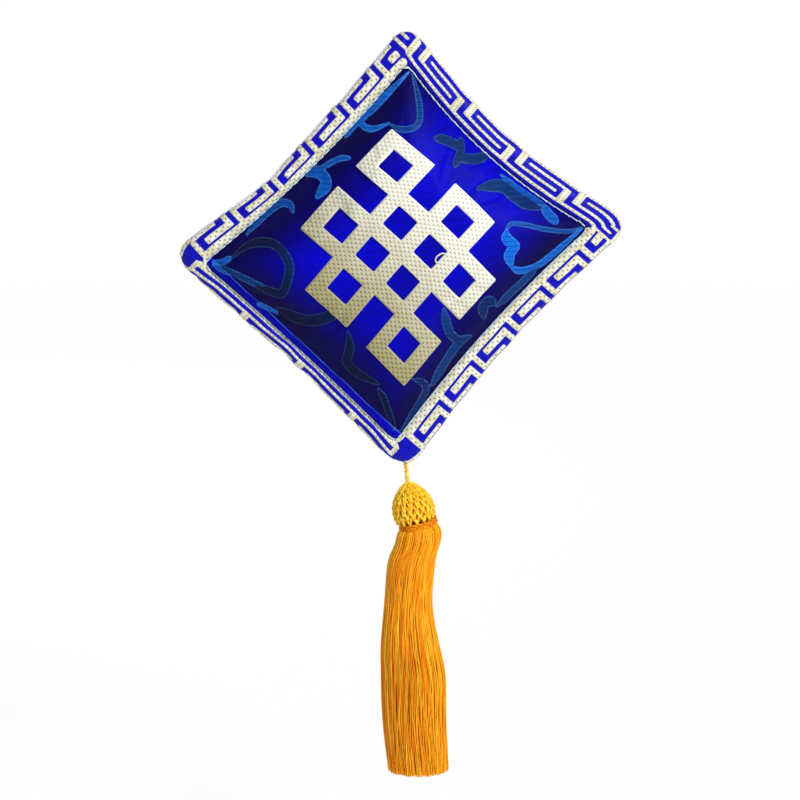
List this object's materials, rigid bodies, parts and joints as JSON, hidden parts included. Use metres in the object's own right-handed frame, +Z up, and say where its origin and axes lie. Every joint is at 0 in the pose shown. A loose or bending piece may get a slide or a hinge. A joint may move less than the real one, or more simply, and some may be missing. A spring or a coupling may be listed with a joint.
{
  "type": "amulet pouch",
  "caption": "Stuffed brocade amulet pouch hung by one corner, with an endless-knot face, key-fret borders and a netted tassel that swings from the corner below.",
  "frame": {"origin": "outer tip of the top corner, where the pouch hangs", "axes": "+Z up along the hanging diagonal, -Y out of the face with the knot, +X to the right of that face"},
  "size_m": [0.1146, 0.0268, 0.1959],
  "materials": {
    "brocade": "satin",
    "knot_weave": "matte",
    "border_weave": "satin",
    "seam_thread": "matte",
    "wadding": "matte",
    "folded_paper": "matte",
    "tie_thread": "matte",
    "cord": "satin",
    "bead_wood": "matte",
    "net": "satin",
    "binding": "satin",
    "skirt_yarn": "satin"
  },
  "bodies": {
    "pouch": {"front_panel": "brocade", "back_panel": "brocade", "knot_motif": "knot_weave", "border_upper_right": "border_weave", "border_lower_right": "border_weave", "border_lower_left": "border_weave", "border_upper_left": "border_weave", "front_seam_thread": "seam_thread", "back_seam_thread": "seam_thread", "wadding_front": "wadding", "wadding_back": "wadding", "amulet_paper": "folded_paper", "amulet_tie": "tie_thread"},
    "cord_anchor": {"corner_knot": "cord"},
    "cord_link": {"neck_cord": "cord"},
    "tassel": {"head_cord": "cord", "head_bead": "bead_wood", "net_cap": "net", "neck_binding": "binding", "skirt_core": "skirt_yarn", "skirt_lock_01": "skirt_yarn", "skirt_lock_02": "skirt_yarn", "skirt_lock_03": "skirt_yarn", "skirt_lock_04": "skirt_yarn", "skirt_lock_05": "skirt_yarn", "skirt_lock_06": "skirt_yarn", "skirt_lock_07": "skirt_yarn", "skirt_lock_08": "skirt_yarn", "skirt_lock_09": "skirt_yarn", "skirt_lock_10": "skirt_yarn", "skirt_lock_11": "skirt_yarn", "skirt_lock_12": "skirt_yarn"}
  },
  "joints": [
    {"name": "tassel_twirl", "type": "hinge", "parent": "pouch", "child": "cord_anchor", "pos_m": [-0.00018, 0, -0.1138], "axis": [0, 0, 1], "range_deg": [-180, 180]},
    {"name": "tassel_swing", "type": "hinge", "parent": "cord_anchor", "child": "cord_link", "pos_m": [-0.00018, 0, -0.1138], "axis": [0, 1, 0], "range_deg": [-75, 75]},
    {"name": "tassel_tilt", "type": "hinge", "parent": "cord_link", "child": "tassel", "pos_m": [0.00202, 0, -0.1176], "axis": [1, 0, 0], "range_deg": [-75, 75]}
  ]
}
